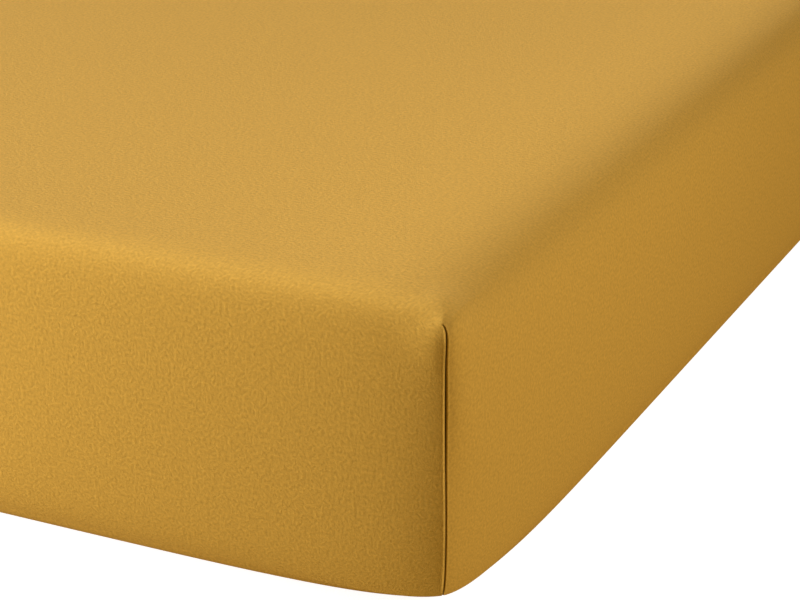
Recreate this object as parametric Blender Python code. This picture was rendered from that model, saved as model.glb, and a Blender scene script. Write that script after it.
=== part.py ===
"""A cotton fitted sheet, drawn over a plain single mattress.

The sheet is one thin cloth: a flat top and four sides, with a sewn dart down each vertical corner, and a band
that turns under the mattress and ends in an elastic hem. The mattress inside it is one plain solid.
The length runs along Y, the width along X, and the underside of the turned band lies at Z = 0.
"""

import math
from collections import namedtuple

import bmesh
import bpy
import numpy as np

# The made-up mattress, in metres, with the cloth on.
WIDTH = 0.900
LENGTH = 2.000
DEPTH = 0.250
SWELL = 0.007  # how far each side swells past its own corners, at mid-depth
SWELL_START = 0.150  # distance from a corner at which most of that swell has come in

# The cloth.
CLOTH_THICKNESS = 0.0020
HEM_THICKNESS = 0.0030
HEM_WIDTH = 0.018
TURN_UNDER = 0.110  # from the side in to the edge of the hem
HEM_CORNER_RADIUS = 0.160  # the elastic draws the opening's corners round

# Edges and corners are rounded by exponential draws. A draw of d rounds a square edge to a radius of about 2.3 d.
TOP_DRAW = 0.012  # downwards, along the ends and at the corners
TOP_DRAW_MIDWAY = 0.024  # downwards, along the long sides
END_EDGE_DRAW = 0.0086  # along Y, at the top of the ends
SIDE_EDGE_DRAW = 0.021  # along X, at the top of the long sides
LOWER_END_DRAW = 0.0094
LOWER_SIDE_DRAW = 0.004
BASE_DRAW = 0.024  # upwards, along the whole lower edge
CORNER_SPAN = 0.056  # distance from a corner over which its own draws fade into those of the edges
SIDE_FADE = 0.030
SLIDE_SPAN = 0.200

# The dart's two panels curve in towards its seam, tightly at the tip and more widely below it. A row for each
# depth below the top: the draws along X and Y, and how far each panel's curve reaches from the seam.
DartRow = namedtuple("DartRow", "depth draw_x draw_y end_reach side_reach")
DART = (
    DartRow(0.000, 0.0110, 0.0090, 0.0220, 0.0075),
    DartRow(0.070, 0.0140, 0.0060, 0.0205, 0.0135),
    DartRow(0.250, 0.0110, 0.0080, 0.0295, 0.0405),
)

# The seam itself: a narrow valley from the dart's tip down to the hem.
SEAM_DEPTH = 0.0022
SEAM_HALF_WIDTH = 0.004
SEAM_START = 0.010

# Sewing gathers the end's cloth into a soft ridge beside the dart's tip, and a shallow dent on the top behind it.
RIDGE_HEIGHT = 0.0039
RIDGE_PLACE = (0.0075, 0.021)  # from the seam, and below the top
RIDGE_SIZE = (0.020, 0.022)
DENT_DEPTH = 0.0035
DENT_FROM_SEAM = 0.020
DENT_SIZE = 0.018

# The mattress stands this far inside the cloth's outer face, on every side.
MATTRESS_INSET = 0.0036

# Grids start this fine at an edge and coarsen away from it: each has its first step and the steps' growth.
COLUMN_STEPS = (0.0045, 1.6)
ROW_STEPS = (0.0055, 1.8)
MATTRESS_STEPS = (0.0060, 2.0)
MERGE_DISTANCE = 0.00002
FLAT_CUT = 0.01  # a plane's pull weaker than this is dropped, which leaves the faces truly flat

MUSTARD_COTTON = (0.60, 0.34, 0.072)
IVORY_TICKING = (0.72, 0.69, 0.62)


def ease(share):
    """0 to 1 with level ends, for a share from 0 to 1."""
    share = np.clip(share, 0.0, 1.0)
    return share * share * (3.0 - 2.0 * share)


def blend(start, end, share):
    return start + (end - start) * share


def dart_shape(below_top):
    """The dart's draw_x, draw_y, end_reach and side_reach at these depths, eased from row to row."""
    shapes = [np.full_like(below_top, value) for value in DART[0][1:]]
    for upper, lower in zip(DART, DART[1:]):
        share = ease((below_top - upper.depth) / (lower.depth - upper.depth))
        shapes = [blend(shape, value, share) for shape, value in zip(shapes, lower[1:])]
    return shapes


def soft_box(x, y, z, inset):
    """Moves points of a sharp box, smaller than the made-up mattress by inset on each side, to its soft form."""
    half_width = WIDTH / 2 - SWELL - inset
    half_length = LENGTH / 2 - SWELL - inset
    from_side = half_width - np.abs(x)
    from_end = half_length - np.abs(y)
    below_top = DEPTH - inset - z
    above_base = z - inset
    depth_share = below_top / (DEPTH - 2 * inset)
    near_end = np.exp(-from_end / CORNER_SPAN)
    near_side = np.exp(-from_side / CORNER_SPAN)

    # How much each plane draws the others' points in, along X, Y and Z, and how far its pull reaches.
    dart_x, dart_y, end_reach, side_reach = dart_shape(below_top)
    edge_x = blend(SIDE_EDGE_DRAW, LOWER_SIDE_DRAW, ease(depth_share))
    edge_y = blend(END_EDGE_DRAW, LOWER_END_DRAW, ease(depth_share))
    draw_x = blend(edge_x, dart_x, near_end)
    draw_y = blend(edge_y, dart_y, near_side)
    draw_z = blend(TOP_DRAW_MIDWAY, TOP_DRAW, near_end)
    pull = (
        np.exp(-from_side / blend(draw_x, end_reach, near_end))
        + np.exp(-from_end / blend(draw_y, side_reach, near_side))
        + np.exp(-below_top / draw_z)
        + np.exp(-above_base / BASE_DRAW)
    )
    inwards = np.log(np.maximum(pull - FLAT_CUT, 1.0))

    swell = SWELL * np.sin(math.pi * depth_share)
    side_swell = swell * (1.0 - np.exp(-from_end / SWELL_START)) * np.exp(-from_side / SIDE_FADE)
    end_swell = swell * (1.0 - np.exp(-from_side / SWELL_START)) * np.exp(-from_end / SIDE_FADE)
    slide_x = draw_x * inwards * np.exp(-((from_side / SLIDE_SPAN) ** 2))
    slide_y = draw_y * inwards * np.exp(-((from_end / SLIDE_SPAN) ** 2))
    upper_share = ease(1.0 - depth_share)
    return (
        np.sign(x) * (half_width - from_side - slide_x + side_swell),
        np.sign(y) * (half_length - from_end - slide_y + end_swell),
        z + inwards * blend(BASE_DRAW, -draw_z, upper_share),
    )


def sewn_in(x, y, z):
    """The cloth's outer face: the soft box, with each dart's seam, ridge and dent."""
    from_side = WIDTH / 2 - SWELL - np.abs(x)
    from_end = LENGTH / 2 - SWELL - np.abs(y)
    below_top = DEPTH - z
    soft_x, soft_y, soft_z = soft_box(x, y, z, 0.0)
    seam = np.exp(-(((from_side + from_end) / SEAM_HALF_WIDTH) ** 2)) * ease(below_top / SEAM_START)
    inwards = SEAM_DEPTH * seam / math.sqrt(2.0)
    across = (from_side - RIDGE_PLACE[0]) / RIDGE_SIZE[0]
    down = (below_top - RIDGE_PLACE[1]) / RIDGE_SIZE[1]
    ridge = RIDGE_HEIGHT * np.exp(-(across**2) - down**2 - from_end / SIDE_FADE)
    behind = ((from_side - DENT_FROM_SEAM) ** 2 + from_end**2) / DENT_SIZE**2
    dent = DENT_DEPTH * np.exp(-behind - below_top / DENT_SIZE)
    return (
        soft_x - np.sign(x) * inwards,
        soft_y - np.sign(y) * (inwards - ridge),
        soft_z - dent,
    )


def mattress_face(x, y, z):
    return soft_box(x, y, z, MATTRESS_INSET)


def spaced(length, first_step, growth):
    """Distances from 0 to length, each step longer than the one before."""
    places = [0.0]
    step = first_step
    while places[-1] < length:
        places.append(places[-1] + step)
        step *= growth
    return np.array(places) * length / places[-1]


def from_both_ends(low, high, first_step, growth):
    """Places from low to high, fine at both ends."""
    places = spaced((high - low) / 2, first_step, growth)
    return np.concatenate([low + places, high - places[-2::-1]])


def hem_place(from_corner):
    """Where a column that starts this far from a corner meets the hem: distances along and in from the sides."""
    turn = TURN_UNDER + HEM_CORNER_RADIUS
    angle = math.pi / 4 * (1.0 + np.minimum(from_corner / turn, 1.0))
    along = np.where(from_corner < turn, turn - HEM_CORNER_RADIUS * np.cos(angle), from_corner)
    return along, turn - HEM_CORNER_RADIUS * np.sin(angle)


def add_grid(bm, points, outwards):
    """Adds a grid of quads, points[row][column] = (x, y, z), wound so that its faces look outwards."""
    rows = [[bm.verts.new(point) for point in row] for row in points]
    for upper, lower in zip(rows, rows[1:]):
        for corners in zip(upper, upper[1:], lower[1:], lower):
            bm.faces.new(corners if outwards else reversed(corners))


def add_panel(bm, x, y, z, face):
    """Adds one panel whose sharp-box points are broadcast from x, y and z."""
    grids = np.broadcast_arrays(x, y, z)
    points = np.stack(face(*grids), axis=-1)
    step_down = points[1, 0] - points[0, 0]
    step_along = points[0, 1] - points[0, 0]
    middle = points[points.shape[0] // 2, points.shape[1] // 2]
    looks_out = np.dot(np.cross(step_down, step_along), middle - (0.0, 0.0, DEPTH / 2)) < 0.0
    add_grid(bm, points, looks_out)


def finish(name, bm, colour, roughness):
    """Makes the object from its mesh, with its own material."""
    bmesh.ops.remove_doubles(bm, verts=bm.verts, dist=MERGE_DISTANCE)
    mesh = bpy.data.meshes.new(name)
    bm.to_mesh(mesh)
    bm.free()
    mesh.shade_smooth()
    material = bpy.data.materials.new(name)
    material.use_nodes = True
    shader = material.node_tree.nodes["Principled BSDF"]
    shader.inputs["Base Color"].default_value = (*colour, 1.0)
    shader.inputs["Roughness"].default_value = roughness
    shader.inputs["Metallic"].default_value = 0.0
    mesh.materials.append(material)
    piece = bpy.data.objects.new(name, mesh)
    bpy.context.scene.collection.objects.link(piece)
    return piece


def fitted_sheet():
    """The cloth: top, four sides and the turned band as one surface, thickened inwards."""
    half_width = WIDTH / 2 - SWELL
    half_length = LENGTH / 2 - SWELL
    across = from_both_ends(-half_width, half_width, *COLUMN_STEPS)
    along = from_both_ends(-half_length, half_length, *COLUMN_STEPS)
    heights = from_both_ends(0.0, DEPTH, *ROW_STEPS)[::-1, None]
    band = spaced(TURN_UNDER - HEM_WIDTH, *ROW_STEPS)
    band_share = np.append(band, TURN_UNDER)[:, None] / TURN_UNDER

    bm = bmesh.new()
    add_panel(bm, across, along[:, None], DEPTH, sewn_in)
    for side in (-1, 1):
        add_panel(bm, side * half_width, along, heights, sewn_in)
        add_panel(bm, across, side * half_length, heights, sewn_in)
        hem_along, hem_in = hem_place(half_length - np.abs(along))
        band_y = blend(along, np.sign(along) * (half_length - hem_along), band_share)
        add_panel(bm, side * (half_width - hem_in * band_share), band_y, 0.0, sewn_in)
        hem_along, hem_in = hem_place(half_width - np.abs(across))
        band_x = blend(across, np.sign(across) * (half_width - hem_along), band_share)
        add_panel(bm, band_x, side * (half_length - hem_in * band_share), 0.0, sewn_in)
    sheet = finish("fitted_sheet", bm, MUSTARD_COTTON, 0.9)

    # The open edge of the surface is the hem, which is thicker than the rest.
    hem = sheet.vertex_groups.new(name="hem")
    for edge in open_edges(sheet.data):
        hem.add(list(edge.vertices), 1.0, "REPLACE")
    thicken = sheet.modifiers.new("Thicken", "SOLIDIFY")
    thicken.thickness = HEM_THICKNESS
    thicken.offset = -1.0
    thicken.vertex_group = hem.name
    thicken.thickness_vertex_group = CLOTH_THICKNESS / HEM_THICKNESS
    return sheet


def open_edges(mesh):
    """The edges of a mesh that only one face uses."""
    uses = {key: 0 for key in mesh.edge_keys}
    for polygon in mesh.polygons:
        for key in polygon.edge_keys:
            uses[key] += 1
    return [edge for edge in mesh.edges if uses[edge.key] == 1]


def mattress():
    """The mattress: one plain closed solid, a little clear of the cloth."""
    half_width = WIDTH / 2 - SWELL - MATTRESS_INSET
    half_length = LENGTH / 2 - SWELL - MATTRESS_INSET
    low, high = MATTRESS_INSET, DEPTH - MATTRESS_INSET
    across = from_both_ends(-half_width, half_width, *MATTRESS_STEPS)
    along = from_both_ends(-half_length, half_length, *MATTRESS_STEPS)
    heights = from_both_ends(low, high, *MATTRESS_STEPS)[::-1, None]

    bm = bmesh.new()
    for level in (low, high):
        add_panel(bm, across, along[:, None], level, mattress_face)
    for side in (-1, 1):
        add_panel(bm, side * half_width, along, heights, mattress_face)
        add_panel(bm, across, side * half_length, heights, mattress_face)
    return finish("mattress", bm, IVORY_TICKING, 0.85)


def main():
    for old in list(bpy.data.objects):
        bpy.data.objects.remove(old, do_unlink=True)
    fitted_sheet()
    mattress()


main()
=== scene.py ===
"""A mustard cotton fitted sheet on a single mattress: finish, light and camera.

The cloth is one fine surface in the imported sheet's form, with a real one's seams, puckers and gathers.
Lengths are in metres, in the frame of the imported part: length along Y, width along X, underside at Z = 0.
"""

import functools
import math
from collections import namedtuple

import bmesh
import bpy
import numpy as np
from mathutils import Matrix, Vector


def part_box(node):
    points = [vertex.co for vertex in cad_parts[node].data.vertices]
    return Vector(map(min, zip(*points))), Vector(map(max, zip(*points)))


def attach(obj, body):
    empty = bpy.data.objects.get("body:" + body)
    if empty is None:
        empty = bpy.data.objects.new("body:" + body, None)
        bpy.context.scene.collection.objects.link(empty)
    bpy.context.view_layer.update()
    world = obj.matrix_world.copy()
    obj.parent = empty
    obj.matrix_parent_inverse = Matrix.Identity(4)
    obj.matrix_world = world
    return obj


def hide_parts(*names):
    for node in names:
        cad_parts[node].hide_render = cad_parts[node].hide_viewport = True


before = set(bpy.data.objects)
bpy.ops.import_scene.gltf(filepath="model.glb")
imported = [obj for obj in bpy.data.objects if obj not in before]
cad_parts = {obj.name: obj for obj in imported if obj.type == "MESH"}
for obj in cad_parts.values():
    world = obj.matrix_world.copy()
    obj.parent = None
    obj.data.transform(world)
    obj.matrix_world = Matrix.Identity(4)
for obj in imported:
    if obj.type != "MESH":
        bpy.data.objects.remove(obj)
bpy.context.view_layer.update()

# Sizes of the made-up mattress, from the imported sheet.
_, SHEET_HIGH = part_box("fitted_sheet")
HALF_WIDTH = SHEET_HIGH.x
HALF_LENGTH = SHEET_HIGH.y
DEPTH = SHEET_HIGH.z

# The form, by the rules of the part's source: exponential draws round its edges and corners.
SWELL = 0.007
SWELL_START = 0.150
TURN_UNDER = 0.110
HEM_CORNER_RADIUS = 0.160
TOP_DRAW = 0.014
TOP_DRAW_MIDWAY = 0.0235
END_EDGE_DRAW = 0.0086
SIDE_EDGE_DRAW = 0.0215
LOWER_END_DRAW = 0.0099
LOWER_SIDE_DRAW = 0.0043
BASE_DRAW = 0.0239
CORNER_SPAN = 0.0545
SIDE_FADE = 0.030
SLIDE_SPAN = 0.200
FLAT_CUT = 0.01
DartRow = namedtuple("DartRow", "depth draw_x draw_y end_reach side_reach")
DART = (
    DartRow(0.000, 0.0119, 0.0108, 0.0282, 0.0076),
    DartRow(0.070, 0.0129, 0.0047, 0.0244, 0.0080),
    DartRow(0.250, 0.0114, 0.0082, 0.0303, 0.0435),
)

# Bulges and dents round a dart's head: each pushes out to the side, the end or upwards, about its place.
Pucker = namedtuple("Pucker", "push height from_side from_end below_top across along down")
PUCKERS = (
    Pucker("end", 0.0051, 0.0029, 0.0000, 0.0116, 0.0238, 0.0187, 0.0295),
    Pucker("up", -0.0054, 0.0149, -0.0089, 0.0000, 0.0150, 0.0139, 0.0196),
    Pucker("side", 0.0019, 0.0000, 0.0095, 0.0147, 0.0164, 0.0180, 0.0170),
    Pucker("up", 0.0022, 0.0128, 0.0229, 0.0000, 0.0187, 0.0246, 0.0150),
    Pucker("side", -0.0028, 0.0000, 0.0000, -0.0015, 0.0140, 0.0075, 0.0045),
)

# The dart pulls both panels in towards its seam, most at its first third.
SeamRow = namedtuple("SeamRow", "depth pull end_reach side_reach")
SEAM_PULL = (
    SeamRow(0.000, 0.0000, 0.0133, 0.0105),
    SeamRow(0.025, 0.0025, 0.0125, 0.0110),
    SeamRow(0.080, 0.0021, 0.0125, 0.0105),
    SeamRow(0.150, 0.0017, 0.0170, 0.0095),
    SeamRow(0.210, 0.0022, 0.0190, 0.0080),
    SeamRow(0.250, 0.0014, 0.0190, 0.0080),
)

# The seam itself: a narrow groove just round the corner, with a soft lip on each side and a hooked head.
# Its colour is darkened with painted shade from this share of its depth on; it goes on under the mattress
# to the hem.
SEAM_PAINTED_SHADE_FROM = 0.3
SEAM_PAINTED_SHADE_SPAN = 0.3
SEAM_PAINTED_SHADE_STRENGTH = 0.95
SEAM_DEPTH = 0.0012
SEAM_HALF_WIDTH = 0.0005
SEAM_PLACE = -0.0008
SEAM_START = 0.002
SEAM_END = 0.012
SEAM_HOOK = 0.0015
SEAM_HOOK_DROP = 0.003
LIP_HEIGHT = 0.0005
LIP_PLACE = 0.0015
LIP_WIDTH = 0.0007
# Painted highlight: the lips' colour is made this much lighter.
LIP_PAINTED_HIGHLIGHT = 0.10
UNDER_SEAM_DEPTH = 0.0012
UNDER_SEAM_END = 0.125
UNDER_SEAM_FADE = 0.030

# A sharp fold runs from each dart's head over the top edge, turned this far from the side's direction.
CREASE_HEIGHT = 0.0021
CREASE_TURN = math.radians(35.0)
CREASE_LENGTH = 0.0121
CREASE_FLANKS = (0.0068, 0.0020)
CREASE_ROUND = 0.0012
CREASE_START = 0.004
CREASE_LEAN = (0.50, 0.87)

# The hem's elastic draws the turned cloth into gathers. Its edge is a fold that goes back to the stitches.
HEM_WIDTH = 0.018
GATHER_WIDTH = 0.050
GATHER_PITCH = 0.014
GATHER_STEP = 0.0030
GATHER_HEIGHT = 0.0024
GATHER_FADE = 0.020
GATHER_ROWS = (0.10, 0.30, 0.50, 0.64, 0.82)
HEM_FOLD = 0.0013
Drift = namedtuple("Drift", "amount length")
GATHER_DRIFTS = (Drift(0.9, 0.173), Drift(0.6, 0.071))
GATHER_SWING = Drift(0.25, 0.047)

CLOTH_THICKNESS = 0.0010
MATTRESS_INSET = 0.0050

# Grids start at each edge with the first step, and grow by the factor up to the longest step.
COLUMN_STEPS = (0.00025, 1.15, 0.035)
ROW_STEPS = (0.0008, 1.18, 0.014)
BAND_STEPS = (0.0012, 1.35, 0.012)
MATTRESS_STEPS = (0.004, 1.35, 0.060)
MERGE_DISTANCE = 0.00002

# The cotton: a fine grain, uneven threads both ways and broad patches, over a plain weave.
COTTON_COLOUR = (0.64, 0.371, 0.065)
COTTON_ROUGHNESS = 0.9
COTTON_SPECULAR = 0.12
SHEEN = 0.03
SHEEN_ROUGHNESS = 0.5
GRAIN_SCALE = 400.0
GRAIN_HEIGHT = 0.0003
WARP_SCALE = (700.0, 75.0, 1.0)
WEFT_SCALE = (75.0, 700.0, 1.0)
SLUB_WEIGHT = 0.12
PATCH_SCALE = 95.0
PATCH_WEIGHT = 0.1
SHADE_SPREAD = 0.57
THREAD_PITCH = 0.00035
WEAVE_HEIGHT = 0.00003

# The hem's stitches. A stitch rises between these two values of a sine along the row.
STITCH_ROW = 0.0160
STITCH_WIDTH = 0.0012
STITCH_PITCH = 0.0036
STITCH_RISE = (-0.7, -0.1)
STITCH_HEIGHT = 0.0005
STITCH_SHINE = 0.22

# The mattress's ticking.
TICKING_COLOUR = (0.72, 0.69, 0.62)
TICKING_ROUGHNESS = 0.9
TICKING_SPECULAR = 0.3
TICKING_GRAIN_SCALE = 500.0
TICKING_GRAIN_DETAIL = 3.0
TICKING_GRAIN_SHADE = 0.15
TICKING_GRAIN_HEIGHT = 0.0002
TICKING_THREAD_PITCH = 0.0008
TICKING_WEAVE_SHADE = 0.015
TICKING_WEAVE_HEIGHT = 0.00008

# The studio. Azimuths are clockwise from +Y, in degrees. A card keeps the low light off the left side.
FLOOR_SIZE = 12.0
FLOOR_GAP = 0.0003
FLOOR_ALBEDO = (0.35, 0.35, 0.35)
FLOOR_WHITE = 0.93
FLOOR_GLOW_COLOUR = (1.0, 0.70, 0.143)
FLOOR_GLOW = 0.404
AMBIENT_COLOUR = (1.0, 0.62, 0.18)
AMBIENT = 0.055
KEY_DIRECTION = (271.0, 36.0)
KEY_COLOUR = (1.0, 0.972, 0.952)
KEY_STRENGTH = 2.95
KEY_ANGLE = 40.0
FLAGGED_LIGHT = "near_end"
FLAG_GAP = 0.050
FLAG_OVERHANG = 0.060
SoftBox = namedtuple("SoftBox", "name azimuth elevation distance size spread watts colour target")
NEAR_CORNER = (0.3, -0.9, 0.2)
FAR_CORNER = (0.3, 0.9, 0.2)
SOFT_BOXES = (
    SoftBox("near_end", 248.0, 6.0, 2.2, 0.80, 180.0, 73.4, (1.0, 0.97, 0.863), NEAR_CORNER),
    SoftBox("right_side", 88.0, 26.0, 2.0, 0.60, 180.0, 22.1, (1.0, 0.935, 0.826), NEAR_CORNER),
    SoftBox("right_far", 88.0, 26.0, 2.0, 0.60, 55.0, 1.8, (1.0, 0.935, 0.826), FAR_CORNER),
    SoftBox("far_end", 10.0, 4.0, 1.8, 0.50, 180.0, 26.0, (1.0, 0.97, 0.90), (0.0, 1.0, 0.1)),
)

# The camera, from the photograph: its view of the box's corner, and its focal length in pixels.
FRAME_WIDTH = 800
FRAME_HEIGHT = 600
FOCAL_PIXELS = 2367.0
CORNER_PIXEL = (456.65, 310.8)
CORNER_DISTANCE = 1.5749
CAMERA_PITCH = math.radians(22.106)
CAMERA_TURN = math.radians(25.569)
SENSOR_WIDTH_MM = 36.0
CLIP_NEAR = 0.05
CLIP_FAR = 50.0


def ease(share):
    """0 to 1 with level ends, for a share from 0 to 1."""
    share = np.clip(share, 0.0, 1.0)
    return share * share * (3.0 - 2.0 * share)


def blend(start, end, share):
    return start + (end - start) * share


def by_depth(rows, below_top):
    """The columns of a table of rows, each eased from row to row at these depths below the top."""
    shapes = [np.full_like(below_top, value) for value in rows[0][1:]]
    for upper, lower in zip(rows, rows[1:]):
        share = ease((below_top - upper.depth) / (lower.depth - upper.depth))
        shapes = [blend(shape, value, share) for shape, value in zip(shapes, lower[1:])]
    return shapes


def soft_box(x, y, z, inset):
    """Moves points of a sharp box to its soft form. The box lies this far inside the made-up mattress."""
    half_width = HALF_WIDTH - SWELL - inset
    half_length = HALF_LENGTH - SWELL - inset
    from_side = half_width - np.abs(x)
    from_end = half_length - np.abs(y)
    below_top = DEPTH - inset - z
    above_base = z - inset
    depth_share = below_top / (DEPTH - 2 * inset)
    near_end = np.exp(-from_end / CORNER_SPAN)
    near_side = np.exp(-from_side / CORNER_SPAN)
    dart_x, dart_y, end_reach, side_reach = by_depth(DART, below_top)
    edge_x = blend(SIDE_EDGE_DRAW, LOWER_SIDE_DRAW, ease(depth_share))
    edge_y = blend(END_EDGE_DRAW, LOWER_END_DRAW, ease(depth_share))
    draw_x = blend(edge_x, dart_x, near_end)
    draw_y = blend(edge_y, dart_y, near_side)
    draw_z = blend(TOP_DRAW_MIDWAY, TOP_DRAW, near_end)
    pull = (
        np.exp(-from_side / blend(draw_x, end_reach, near_end))
        + np.exp(-from_end / blend(draw_y, side_reach, near_side))
        + np.exp(-below_top / draw_z)
        + np.exp(-above_base / BASE_DRAW)
    )
    inwards = np.log(np.maximum(pull - FLAT_CUT, 1.0))
    swell = SWELL * np.sin(math.pi * depth_share)
    side_swell = swell * (1.0 - np.exp(-from_end / SWELL_START)) * np.exp(-from_side / SIDE_FADE)
    end_swell = swell * (1.0 - np.exp(-from_side / SWELL_START)) * np.exp(-from_end / SIDE_FADE)
    slide_x = draw_x * inwards * np.exp(-((from_side / SLIDE_SPAN) ** 2))
    slide_y = draw_y * inwards * np.exp(-((from_end / SLIDE_SPAN) ** 2))
    upper_share = ease(1.0 - depth_share)
    return (
        np.sign(x) * (half_width - from_side - slide_x + side_swell),
        np.sign(y) * (half_length - from_end - slide_y + end_swell),
        z + inwards * blend(BASE_DRAW, -draw_z, upper_share),
    )


def seam_profile(from_side, from_end, below_top, above_base):
    """How far places lie in a dart's seam and on its lips, from 0 to 1, on the corner and under it."""
    hook = SEAM_HOOK * (1.0 - ease(below_top / SEAM_HOOK_DROP))
    away = np.abs(from_side - from_end - SEAM_PLACE - hook)
    away = np.where(above_base > 0.0, away, away / math.sqrt(2.0))
    start = ease(below_top / SEAM_START)
    groove = np.exp(-((away / SEAM_HALF_WIDTH) ** 2)) * start
    lip = np.exp(-(((away - LIP_PLACE) / LIP_WIDTH) ** 2)) * start
    return groove, lip


def crease(from_side, from_end, below_top):
    """The height of the fold over a dart's head, with the cloth laid flat across the two top edges."""
    on_end = (from_end <= 0.0) & (below_top > 0.0)
    across = np.where(on_end, from_side, from_side - below_top)
    along = np.where(on_end, -below_top, from_end)
    aside = across * math.cos(CREASE_TURN) - along * math.sin(CREASE_TURN)
    ahead = across * math.sin(CREASE_TURN) + along * math.cos(CREASE_TURN)
    flank = np.where(aside > 0.0, CREASE_FLANKS[0], CREASE_FLANKS[1])
    away = np.sqrt(aside**2 + CREASE_ROUND**2) - CREASE_ROUND
    fade = np.where(ahead > 0.0, ahead / CREASE_LENGTH, -ahead / CREASE_START)
    return CREASE_HEIGHT * np.exp(-away / flank - fade)


def sewn_in(x, y, z):
    """The cloth's outer face and its painted shade in a seam: the soft box, drawn in and puckered by the
    darts.
    """
    from_side = HALF_WIDTH - SWELL - np.abs(x)
    from_end = HALF_LENGTH - SWELL - np.abs(y)
    below_top = DEPTH - z
    soft_x, soft_y, soft_z = soft_box(x, y, z, 0.0)
    groove, lip = seam_profile(from_side, from_end, below_top, z)
    on_corner = ease(z / SEAM_END)
    wide, end_reach, side_reach = by_depth(SEAM_PULL, below_top)
    wide = wide * np.exp(-from_side / end_reach - from_end / side_reach)
    inwards = (wide + (SEAM_DEPTH * groove - LIP_HEIGHT * lip) * on_corner) / math.sqrt(2.0)
    fold = crease(from_side, from_end, below_top)
    push = {"side": fold * CREASE_LEAN[0] - inwards, "end": -inwards, "up": fold * CREASE_LEAN[1]}
    for pucker in PUCKERS:
        distance = (
            ((from_side - pucker.from_side) / pucker.across) ** 2
            + ((from_end - pucker.from_end) / pucker.along) ** 2
            + ((below_top - pucker.below_top) / pucker.down) ** 2
        )
        push[pucker.push] = push[pucker.push] + pucker.height * np.exp(-distance)
    under = (1.0 - on_corner) * ease((UNDER_SEAM_END - from_side) / UNDER_SEAM_FADE)
    push["up"] = push["up"] + UNDER_SEAM_DEPTH * groove * under
    return (
        soft_x + np.sign(x) * push["side"],
        soft_y + np.sign(y) * push["end"],
        soft_z + push["up"],
        # Painted shade where the groove is deep, less a painted highlight on its lips.
        ease((groove - SEAM_PAINTED_SHADE_FROM) / SEAM_PAINTED_SHADE_SPAN) - LIP_PAINTED_HIGHLIGHT * lip,
    )


def mattress_face(x, y, z):
    return *soft_box(x, y, z, MATTRESS_INSET), 0.0


def spaced(length, first_step, growth, longest):
    """Distances from 0 to length, each step longer than the one before, up to the longest."""
    places = [0.0]
    step = first_step
    while places[-1] < length:
        places.append(places[-1] + step)
        step = min(step * growth, longest)
    return np.array(places) * length / places[-1]


def from_both_ends(low, high, steps):
    """Places from low to high, fine at both ends."""
    places = spaced((high - low) / 2, *steps)
    return np.concatenate([low + places, high - places[-2::-1]])


def hem_place(from_corner):
    """Where a column that starts this far from a corner meets the hem: distances along the side and in."""
    turn = TURN_UNDER + HEM_CORNER_RADIUS
    angle = math.pi / 4 * (1.0 + np.minimum(from_corner / turn, 1.0))
    along = np.where(from_corner < turn, turn - HEM_CORNER_RADIUS * np.cos(angle), from_corner)
    return along, turn - HEM_CORNER_RADIUS * np.sin(angle)


class Surface:
    """Collects panels of one surface, with each point's flat place in the cut and its painted shade in a
    seam.
    """

    def __init__(self):
        self.mesh = bmesh.new()
        self.cut = self.mesh.loops.layers.uv.new("cut")
        self.painted_seam_shade = self.mesh.verts.layers.float.new("painted_seam_shade")

    def add_rows(self, x, y, z, painted_seam_shade, u, v):
        """Adds a grid of points. Returns its rows of corners: vertices with their flat places."""
        rows = []
        for row in np.stack(np.broadcast_arrays(x, y, z, painted_seam_shade, u, v), axis=-1):
            corners = []
            for *point, shade, flat_u, flat_v in row.tolist():
                vert = self.mesh.verts.new(point)
                vert[self.painted_seam_shade] = shade
                corners.append((vert, (flat_u, flat_v)))
            rows.append(corners)
        return rows

    def add_face(self, corners, turned):
        """Adds a face, the other way round if turned."""
        if turned:
            corners = corners[::-1]
        face = self.mesh.faces.new([vert for vert, _ in corners])
        for loop, (_, place) in zip(face.loops, corners):
            loop[self.cut].uv = place

    def join_rows(self, rows, turned):
        for upper, lower in zip(rows, rows[1:]):
            for near in range(len(upper) - 1):
                corners = [upper[near], upper[near + 1], lower[near + 1], lower[near]]
                self.add_face(corners, turned)

    def add_panel(self, shape, x, y, z, u, v):
        """Adds a panel over places in the sharp box. Returns its last row and whether it was turned."""
        x, y, z = np.broadcast_arrays(x, y, z)
        rows = self.add_rows(*shape(x, y, z), u, v)
        turned = looks_in(rows)
        self.join_rows(rows, turned)
        return rows[-1], turned

    def finish(self, name, material):
        bmesh.ops.remove_doubles(self.mesh, verts=self.mesh.verts, dist=MERGE_DISTANCE)
        mesh = bpy.data.meshes.new(name)
        self.mesh.to_mesh(mesh)
        self.mesh.free()
        mesh.shade_smooth()
        mesh.materials.append(material)
        piece = bpy.data.objects.new(name, mesh)
        bpy.context.scene.collection.objects.link(piece)
        return piece


def looks_in(rows):
    """True where the middle of a panel faces the mattress, with its rows and corners in order."""
    row, column = len(rows) // 2, len(rows[0]) // 2
    middle, above, before = rows[row][column], rows[row - 1][column], rows[row][column - 1]
    facing = (middle[0].co - above[0].co).cross(middle[0].co - before[0].co)
    return facing.dot(middle[0].co - Vector((0.0, 0.0, DEPTH / 2))) > 0.0


def finer_places(places, longest):
    """Splits each stretch into even steps up to this long. Returns them and each place's index in them."""
    finer, indices = [], [0]
    for low, high in zip(places, places[1:]):
        count = math.ceil((high - low) / longest)
        finer.extend(low + (high - low) * step / count for step in range(count))
        indices.append(len(finer))
    return np.array([*finer, places[-1]]), indices


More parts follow.
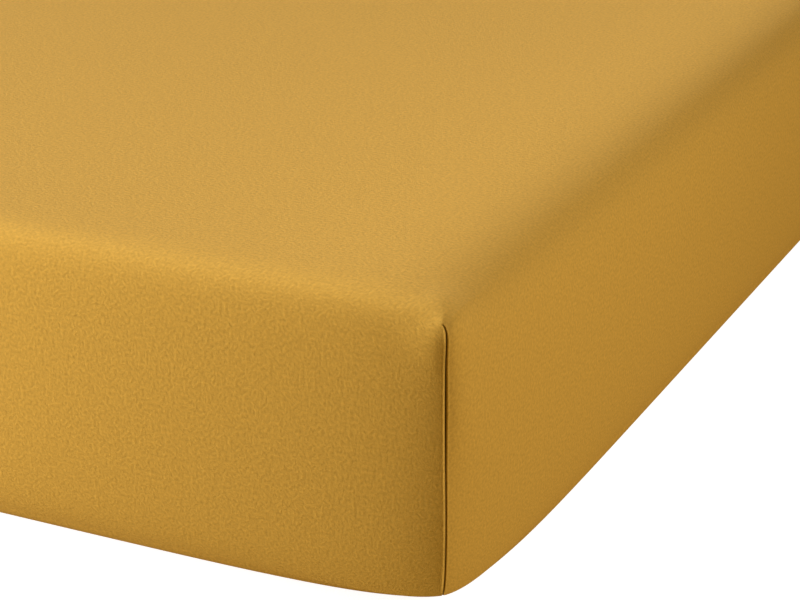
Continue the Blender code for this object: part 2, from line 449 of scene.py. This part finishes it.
def gathered(x, y, strength, run, phase):
    """The turned cloth, drawn into uneven gathers along its run, which fade out at the darts' seams."""
    from_seam = np.abs(HALF_WIDTH - np.abs(x) - HALF_LENGTH + np.abs(y))
    slow, quick = GATHER_DRIFTS
    wander = slow.amount * np.sin(run / slow.length + phase) + quick.amount * np.sin(run / quick.length)
    wave = 0.5 - 0.5 * np.cos(2 * math.pi * run / GATHER_PITCH + wander)
    swing = 1.0 - GATHER_SWING.amount * (1.0 - np.sin(run / GATHER_SWING.length + 2.0 * phase))
    height = GATHER_HEIGHT * strength * ease(from_seam / GATHER_FADE) * wave * swing
    x, y, z, painted_seam_shade = sewn_in(x, y, np.zeros_like(x))
    return x, y, z + height, painted_seam_shade


def add_hem(surface, rim, turned, outline, places, phase):
    """Adds the gathered cloth from the smooth band's rim to the hem's edge, and the fold back over it."""
    finer, indices = finer_places(places, GATHER_STEP)
    hem_start = 1.0 - HEM_WIDTH / GATHER_WIDTH
    shares = np.array([*GATHER_ROWS, 1.0])[:, None]
    x, y, u, v, run = outline(finer, 1.0 - (1.0 - shares) * GATHER_WIDTH / TURN_UNDER)
    x, y, z, painted_seam_shade = gathered(x, y, ease(shares / hem_start), run, phase)
    rows = surface.add_rows(x, y, z, painted_seam_shade, u, v)
    x, y, z, u, v = (grid[-3:-1][::-1] for grid in np.broadcast_arrays(x, y, z, u, v))
    back = surface.add_rows(x, y, z + HEM_FOLD, 0.0, u, v)
    for near, (start, end) in enumerate(zip(indices, indices[1:])):
        corners = [rim[near], rim[near + 1], *reversed(rows[0][start : end + 1])]
        surface.add_face(corners, turned)
    surface.join_rows(rows + back, turned)


def make_cloth(material):
    """The sheet: top, four sides and the turned band, on its own cut's flat places."""
    half_width = HALF_WIDTH - SWELL
    half_length = HALF_LENGTH - SWELL
    across = from_both_ends(-half_width, half_width, COLUMN_STEPS)
    along = from_both_ends(-half_length, half_length, COLUMN_STEPS)
    heights = from_both_ends(0.0, DEPTH, ROW_STEPS)[::-1, None]
    drop = DEPTH - heights
    shares = (spaced(TURN_UNDER - GATHER_WIDTH, *BAND_STEPS) / TURN_UNDER)[:, None]

    def side_band(side, places, share):
        """The turned band of a long side at this share of it: each column's x, y, flat place and run."""
        hem_along, hem_in = hem_place(half_length - np.abs(places))
        x = side * (half_width - hem_in * share)
        y = blend(places, np.sign(places) * (half_length - hem_along), share)
        across_cut = side * (half_width + DEPTH + TURN_UNDER * share)
        return *np.broadcast_arrays(x, y, across_cut, places), y

    def end_band(side, places, share):
        """The same for an end."""
        hem_along, hem_in = hem_place(half_width - np.abs(places))
        x = blend(places, np.sign(places) * (half_width - hem_along), share)
        y = side * (half_length - hem_in * share)
        along_cut = side * (half_length + DEPTH + TURN_UNDER * share)
        return *np.broadcast_arrays(x, y, places, along_cut), x

    surface = Surface()
    surface.add_panel(sewn_in, across, along[:, None], DEPTH, across, along[:, None])
    for side in (-1, 1):
        surface.add_panel(sewn_in, side * half_width, along, heights, side * (half_width + drop), along)
        surface.add_panel(sewn_in, across, side * half_length, heights, across, side * (half_length + drop))
        for band, places, phase in ((side_band, along, side), (end_band, across, 2 * side)):
            outline = functools.partial(band, side)
            x, y, u, v, _ = outline(places, shares)
            rim, turned = surface.add_panel(sewn_in, x, y, 0.0, u, v)
            add_hem(surface, rim, turned, outline, places, phase)
    cloth = surface.finish("sheet_cloth", material)
    thicken = cloth.modifiers.new("Thicken", "SOLIDIFY")
    thicken.thickness = CLOTH_THICKNESS
    thicken.offset = -1.0
    return cloth


def make_mattress(material):
    """The mattress, as one closed form a little inside the cloth."""
    half_width = HALF_WIDTH - SWELL - MATTRESS_INSET
    half_length = HALF_LENGTH - SWELL - MATTRESS_INSET
    low, high = MATTRESS_INSET, DEPTH - MATTRESS_INSET
    across = from_both_ends(-half_width, half_width, MATTRESS_STEPS)
    along = from_both_ends(-half_length, half_length, MATTRESS_STEPS)
    heights = from_both_ends(low, high, MATTRESS_STEPS)[::-1, None]
    surface = Surface()
    for level in (low, high):
        surface.add_panel(mattress_face, across, along[:, None], level, across, along[:, None])
    for side in (-1, 1):
        surface.add_panel(mattress_face, side * half_width, along, heights, along, heights)
        surface.add_panel(mattress_face, across, side * half_length, heights, across, heights)
    return surface.finish("mattress_body", material)


class NodeGraph:
    """A new material and short ways to add its nodes."""

    def __init__(self, name):
        self.material = bpy.data.materials.new(name)
        self.material.use_nodes = True
        self.tree = self.material.node_tree
        self.shader = self.tree.nodes["Principled BSDF"]

    def add(self, kind, inputs=(), **settings):
        """Adds a node. An input is a plain value or another node's output socket."""
        node = self.tree.nodes.new(kind)
        for name, value in settings.items():
            setattr(node, name, value)
        for key, value in dict(inputs).items():
            if isinstance(value, bpy.types.NodeSocket):
                self.tree.links.new(value, node.inputs[key])
            else:
                node.inputs[key].default_value = value
        return node

    def math(self, operation, first, second=0.0, third=0.0):
        values = {0: first, 1: second, 2: third}
        return self.add("ShaderNodeMath", values, operation=operation).outputs[0]

    def total(self, *terms):
        """The sum of (socket, weight) pairs."""
        running = 0.0
        for socket, weight in terms:
            running = self.math("MULTIPLY_ADD", socket, weight, running)
        return running

    def mapped(self, vector, scale):
        return self.add("ShaderNodeMapping", {"Vector": vector, "Scale": scale}).outputs[0]

    def noise(self, vector, scale, detail=2.0):
        """Noise about 0 along this vector, from about -0.5 to 0.5."""
        values = {"Vector": vector, "Scale": scale, "Detail": detail, "Roughness": 0.5}
        return self.math("SUBTRACT", self.add("ShaderNodeTexNoise", values).outputs[0], 0.5)

    def wave(self, value, pitch):
        """A sine of this length value, from -1 to 1 and back in each pitch."""
        return self.math("SINE", self.math("MULTIPLY", value, 2 * math.pi / pitch))

    def dress(self, colour, light, height):
        """Links this colour, scaled by a light, and the bump of a height in metres to the shader."""
        scaled = self.add("ShaderNodeVectorMath", {0: colour, "Scale": light}, operation="SCALE")
        bump = self.add("ShaderNodeBump", {"Height": height, "Distance": 1.0, "Strength": 1.0})
        self.tree.links.new(scaled.outputs[0], self.shader.inputs["Base Color"])
        self.tree.links.new(bump.outputs[0], self.shader.inputs["Normal"])

    def set(self, **values):
        """Sets the shader's own sockets, by their names with underscores for spaces."""
        for name, value in values.items():
            self.shader.inputs[name.replace("_", " ")].default_value = value


def plain_weave(graph, place, pitch):
    """The height of a plain weave, from -1 to 1: threads that pass over and under each other by turns."""
    parts = graph.add("ShaderNodeSeparateXYZ", {0: place})
    along = graph.wave(parts.outputs[0], 2 * pitch)
    across = graph.wave(parts.outputs[1], 2 * pitch)
    return graph.math("MULTIPLY", along, across)


def hem_stitches(graph, place):
    """A row of stitches round the hem, from 0 to 1, at its distance from the nearest edge of the cut."""
    parts = graph.add("ShaderNodeSeparateXYZ", {0: place})
    drop = DEPTH + TURN_UNDER - SWELL
    across = graph.math("SUBTRACT", HALF_WIDTH + drop, graph.math("ABSOLUTE", parts.outputs[0]))
    along = graph.math("SUBTRACT", HALF_LENGTH + drop, graph.math("ABSOLUTE", parts.outputs[1]))
    from_row = graph.math("SUBTRACT", graph.math("MINIMUM", across, along), STITCH_ROW)
    aside = graph.math("ABSOLUTE", from_row)
    thread = {"Value": aside, "From Max": STITCH_WIDTH / 2, "To Min": 1.0, "To Max": 0.0}
    wave = graph.wave(graph.math("ADD", parts.outputs[0], parts.outputs[1]), STITCH_PITCH)
    dash = {"Value": wave, "From Min": STITCH_RISE[0], "From Max": STITCH_RISE[1]}
    shares = [graph.add("ShaderNodeMapRange", values).outputs[0] for values in (thread, dash)]
    return graph.math("MULTIPLY", *shares)


def cotton_material():
    """Fine mustard percale with a soft nap and the hem's stitches; painted shade in the darts' seams,
    painted highlight on their lips.
    """
    graph = NodeGraph("sheet_cotton")
    place = graph.add("ShaderNodeUVMap", uv_map="cut").outputs[0]
    grain = graph.noise(place, GRAIN_SCALE)
    warp_slubs = graph.noise(graph.mapped(place, WARP_SCALE), 1.0)
    weft_slubs = graph.noise(graph.mapped(place, WEFT_SCALE), 1.0)
    patches = graph.noise(place, PATCH_SCALE)
    weave = plain_weave(graph, place, THREAD_PITCH)
    stitches = hem_stitches(graph, place)
    slubs = ((warp_slubs, SLUB_WEIGHT), (weft_slubs, SLUB_WEIGHT))
    cloth = graph.total((grain, 1.0), *slubs, (patches, PATCH_WEIGHT))
    shade = graph.math("ADD", graph.total((cloth, SHADE_SPREAD), (stitches, STITCH_SHINE)), 1.0)
    # The seam's value paints shade into the colour in its groove, and a highlight on its lips.
    painted_seam_shade = graph.add("ShaderNodeAttribute", attribute_name="painted_seam_shade").outputs["Fac"]
    painted_seam_light = graph.math("MULTIPLY_ADD", painted_seam_shade, -SEAM_PAINTED_SHADE_STRENGTH, 1.0)
    light = graph.math("MULTIPLY", shade, painted_seam_light)
    height = graph.total((cloth, GRAIN_HEIGHT), (weave, WEAVE_HEIGHT), (stitches, STITCH_HEIGHT))
    graph.dress(COTTON_COLOUR, light, height)
    graph.set(Roughness=COTTON_ROUGHNESS, Specular_IOR_Level=COTTON_SPECULAR)
    graph.set(Sheen_Weight=SHEEN, Sheen_Roughness=SHEEN_ROUGHNESS)
    return graph.material


def ticking_material():
    """Plain ivory ticking, in a coarser plain weave."""
    graph = NodeGraph("mattress_ticking")
    place = graph.add("ShaderNodeUVMap", uv_map="cut").outputs[0]
    grain = graph.noise(place, TICKING_GRAIN_SCALE, TICKING_GRAIN_DETAIL)
    weave = plain_weave(graph, place, TICKING_THREAD_PITCH)
    shades = graph.total((grain, TICKING_GRAIN_SHADE), (weave, TICKING_WEAVE_SHADE))
    light = graph.math("ADD", shades, 1.0)
    height = graph.total((grain, TICKING_GRAIN_HEIGHT), (weave, TICKING_WEAVE_HEIGHT))
    graph.dress(TICKING_COLOUR, light, height)
    graph.set(Roughness=TICKING_ROUGHNESS, Specular_IOR_Level=TICKING_SPECULAR)
    return graph.material


def camera_axes():
    """The camera's right, up and forward directions."""
    cos_pitch, sin_pitch = math.cos(CAMERA_PITCH), math.sin(CAMERA_PITCH)
    cos_turn, sin_turn = math.cos(CAMERA_TURN), math.sin(CAMERA_TURN)
    forward = Vector((-sin_turn * cos_pitch, cos_turn * cos_pitch, -sin_pitch))
    right = Vector((cos_turn, sin_turn, 0.0))
    return right, right.cross(forward), forward


def make_camera():
    """The camera, placed so that the box's near corner lies at its pixel."""
    right, up, forward = camera_axes()
    ray = (
        forward
        + right * (CORNER_PIXEL[0] - FRAME_WIDTH / 2) / FOCAL_PIXELS
        - up * (CORNER_PIXEL[1] - FRAME_HEIGHT / 2) / FOCAL_PIXELS
    )
    corner = Vector((HALF_WIDTH - SWELL, -(HALF_LENGTH - SWELL), DEPTH))
    data = bpy.data.cameras.new("camera")
    data.sensor_width = SENSOR_WIDTH_MM
    data.lens = FOCAL_PIXELS / FRAME_WIDTH * SENSOR_WIDTH_MM
    data.clip_start = CLIP_NEAR
    data.clip_end = CLIP_FAR
    camera = bpy.data.objects.new("camera", data)
    bpy.context.scene.collection.objects.link(camera)
    rotation = Matrix((right, up, -forward)).transposed().to_4x4()
    camera.matrix_world = Matrix.Translation(corner - ray.normalized() * CORNER_DISTANCE) @ rotation
    bpy.context.scene.camera = camera


def make_floor():
    """A pale floor. The camera sees it white, and the part gets a weak warm glow from it."""
    half = FLOOR_SIZE / 2
    mesh = bpy.data.meshes.new("floor")
    corners = [(-half, -half), (half, -half), (half, half), (-half, half)]
    mesh.from_pydata([(x, y, -FLOOR_GAP) for x, y in corners], [], [(0, 1, 2, 3)])
    floor = bpy.data.objects.new("floor", mesh)
    bpy.context.scene.collection.objects.link(floor)
    graph = NodeGraph("floor_white")
    graph.set(Base_Color=(*FLOOR_ALBEDO, 1.0), Roughness=1.0, Specular_IOR_Level=0.0)
    graph.set(Emission_Color=(1.0, 1.0, 1.0, 1.0), Emission_Strength=FLOOR_WHITE)
    glow = graph.add("ShaderNodeEmission", {"Color": (*FLOOR_GLOW_COLOUR, 1.0), "Strength": FLOOR_GLOW})
    seen = graph.add("ShaderNodeLightPath").outputs["Is Camera Ray"]
    mix = graph.add("ShaderNodeMixShader", {0: seen, 1: glow.outputs[0], 2: graph.shader.outputs[0]})
    surface = graph.tree.nodes["Material Output"].inputs["Surface"]
    graph.tree.links.new(mix.outputs[0], surface)
    mesh.materials.append(graph.material)


def light_direction(azimuth, elevation):
    """The direction towards a light, with azimuth clockwise from +Y, in degrees."""
    turn, rise = math.radians(azimuth), math.radians(elevation)
    return Vector((math.sin(turn) * math.cos(rise), math.cos(turn) * math.cos(rise), math.sin(rise)))


def add_light(name, data, direction, place=(0.0, 0.0, 0.0)):
    light = bpy.data.objects.new(name, data)
    light.location = place
    light.rotation_euler = direction.to_track_quat("Z", "Y").to_euler()
    light.visible_camera = False
    bpy.context.scene.collection.objects.link(light)
    return light


def make_flag():
    """A card beside the left side, seen by shadows alone."""
    x = -HALF_WIDTH - FLAG_GAP
    near, far = -HALF_LENGTH - FLAG_OVERHANG, HALF_LENGTH
    mesh = bpy.data.meshes.new("flag")
    corners = [(x, near, 0.0), (x, far, 0.0), (x, far, DEPTH), (x, near, DEPTH)]
    mesh.from_pydata(corners, [], [(0, 1, 2, 3)])
    flag = bpy.data.objects.new("flag", mesh)
    for ray in ("camera", "diffuse", "glossy", "transmission", "volume_scatter"):
        setattr(flag, f"visible_{ray}", False)
    bpy.context.scene.collection.objects.link(flag)


def make_world():
    """A weak warm light from all round, behind a white backdrop."""
    world = bpy.data.worlds.new("studio")
    bpy.context.scene.world = world
    world.use_nodes = True
    nodes, links = world.node_tree.nodes, world.node_tree.links
    ambient = nodes["Background"]
    ambient.inputs["Color"].default_value = (*AMBIENT_COLOUR, 1.0)
    ambient.inputs["Strength"].default_value = AMBIENT
    backdrop = nodes.new("ShaderNodeBackground")
    backdrop.inputs["Color"].default_value = (1.0, 1.0, 1.0, 1.0)
    seen = nodes.new("ShaderNodeMixShader")
    links.new(nodes.new("ShaderNodeLightPath").outputs["Is Camera Ray"], seen.inputs[0])
    links.new(ambient.outputs[0], seen.inputs[1])
    links.new(backdrop.outputs[0], seen.inputs[2])
    links.new(seen.outputs[0], nodes["World Output"].inputs["Surface"])


def make_lights(blockers):
    """A soft key from the left, a low box at the near end, two from the right and one behind the far end.

    Only these blockers cast shadows, apart from the card, which blocks the flagged light.
    """
    key = bpy.data.lights.new("key", "SUN")
    key.energy = KEY_STRENGTH
    key.color = KEY_COLOUR
    key.angle = math.radians(KEY_ANGLE)
    lights = [add_light("key", key, light_direction(*KEY_DIRECTION))]
    for box in SOFT_BOXES:
        data = bpy.data.lights.new(box.name, "AREA")
        data.shape = "SQUARE"
        data.size = box.size
        data.spread = math.radians(box.spread)
        data.energy = box.watts
        data.color = box.colour
        direction = light_direction(box.azimuth, box.elevation)
        place = Vector(box.target) + direction * box.distance
        lights.append(add_light(box.name, data, direction, place))
    unflagged = bpy.data.collections.new("unflagged")
    for blocker in blockers:
        unflagged.objects.link(blocker)
    for light in lights:
        if light.name != FLAGGED_LIGHT:
            light.light_linking.blocker_collection = unflagged


cloth = make_cloth(cotton_material())
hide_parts("fitted_sheet")
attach(cloth, "root")
mattress = make_mattress(ticking_material())
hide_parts("mattress")
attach(mattress, "root")
make_floor()
make_flag()
make_world()
make_lights([cloth, mattress])
make_camera()
bpy.context.scene.view_settings.view_transform = "Standard"
